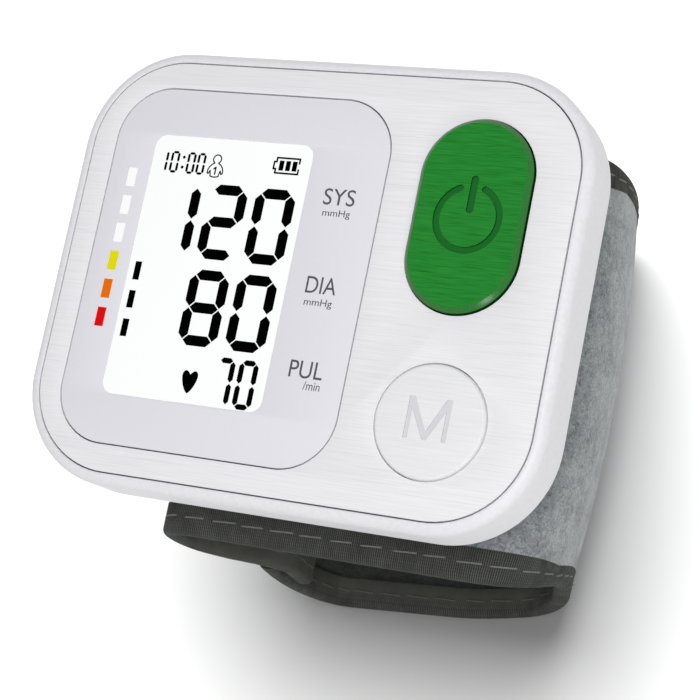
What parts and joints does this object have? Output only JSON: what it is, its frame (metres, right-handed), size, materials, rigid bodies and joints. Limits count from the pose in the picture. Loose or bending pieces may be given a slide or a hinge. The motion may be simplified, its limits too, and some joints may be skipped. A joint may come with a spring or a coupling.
{
  "type": "wrist blood pressure monitor",
  "caption": "Flat display unit with a start button and a memory button, on a preformed padded cuff that closes round a wrist and opens at its free end.",
  "frame": {"origin": "on the flat outer face of the cuff's underside, below the middle of the display face", "axes": "+Z out of the display, +X to the right and +Y to the top of the display as it is read; the wrist lies along Y"},
  "size_m": [0.084, 0.0758, 0.0812],
  "materials": {
    "case_plastic": "satin white",
    "brushed_plate": "brushed silver white",
    "window": "polished clear",
    "mask_print": "printed film",
    "display": "pale liquid crystal cell",
    "backlight": "white diffuser",
    "board": "green lacquered laminate",
    "green_button": "brushed green",
    "white_button": "satin white",
    "black_plastic": "moulded black",
    "steel": "plated",
    "contact_metal": "plated spring strip",
    "cell_jacket": "plain jacket",
    "silicone": "translucent hose",
    "felt": "mottled grey felt",
    "lining": "knitted dark lining",
    "edge_tape": "ribbed woven tape, stitched",
    "bladder_rubber": "matte",
    "stiffener_plastic": "moulded"
  },
  "bodies": {
    "monitor": {"front_housing": "case_plastic", "fascia_plate": "brushed_plate", "display_window": "window", "display_mask": "mask_print", "display_glass": "display", "display_backlight": "backlight", "circuit_board": "board", "start_switch": "black_plastic", "memory_switch": "black_plastic", "processor_chip": "black_plastic", "pressure_sensor": "black_plastic", "pump_motor": "steel", "pump_head": "black_plastic", "release_valve": "steel", "air_manifold": "black_plastic", "pump_hose": "silicone", "valve_hose": "silicone", "sensor_hose": "silicone", "battery_outer": "cell_jacket", "battery_inner": "cell_jacket", "contact_spring_outer": "steel", "contact_spring_inner": "steel", "contact_bridge": "contact_metal", "contact_plate_outer": "contact_metal", "contact_plate_inner": "contact_metal", "rear_housing": "case_plastic", "case_screw_1": "steel", "case_screw_2": "steel", "case_screw_3": "steel", "cuff_felt": "felt", "cuff_stiffener": "stiffener_plastic", "air_bladder": "bladder_rubber", "cuff_lining": "lining", "cuff_tape_near": "edge_tape", "cuff_tape_far": "edge_tape", "hook_patch": "black_plastic"},
    "start_key": {"start_button": "green_button"},
    "memory_key": {"memory_button": "white_button"},
    "battery_cover": {"battery_door": "case_plastic"},
    "strap": {"strap_felt": "felt", "strap_lining": "lining", "strap_tape_near": "edge_tape", "strap_tape_far": "edge_tape"}
  },
  "joints": [
    {"name": "start_press", "type": "slide", "parent": "monitor", "child": "start_key", "axis": [0, 0, -1], "range_m": [0, 0.0008], "stiffness_N_per_m": 600, "springref_m": -0.0005},
    {"name": "memory_press", "type": "slide", "parent": "monitor", "child": "memory_key", "axis": [0, 0, -1], "range_m": [0, 0.0008], "stiffness_N_per_m": 600, "springref_m": -0.0005},
    {"name": "cover_slide", "type": "slide", "parent": "monitor", "child": "battery_cover", "axis": [-1, 0, 0], "range_m": [0, 0.014]},
    {"name": "strap_opening", "type": "hinge", "parent": "monitor", "child": "strap", "pos_m": [0.0256, 0, 0.00481], "axis": [0, -1, 0], "range_deg": [0, 70]}
  ]
}
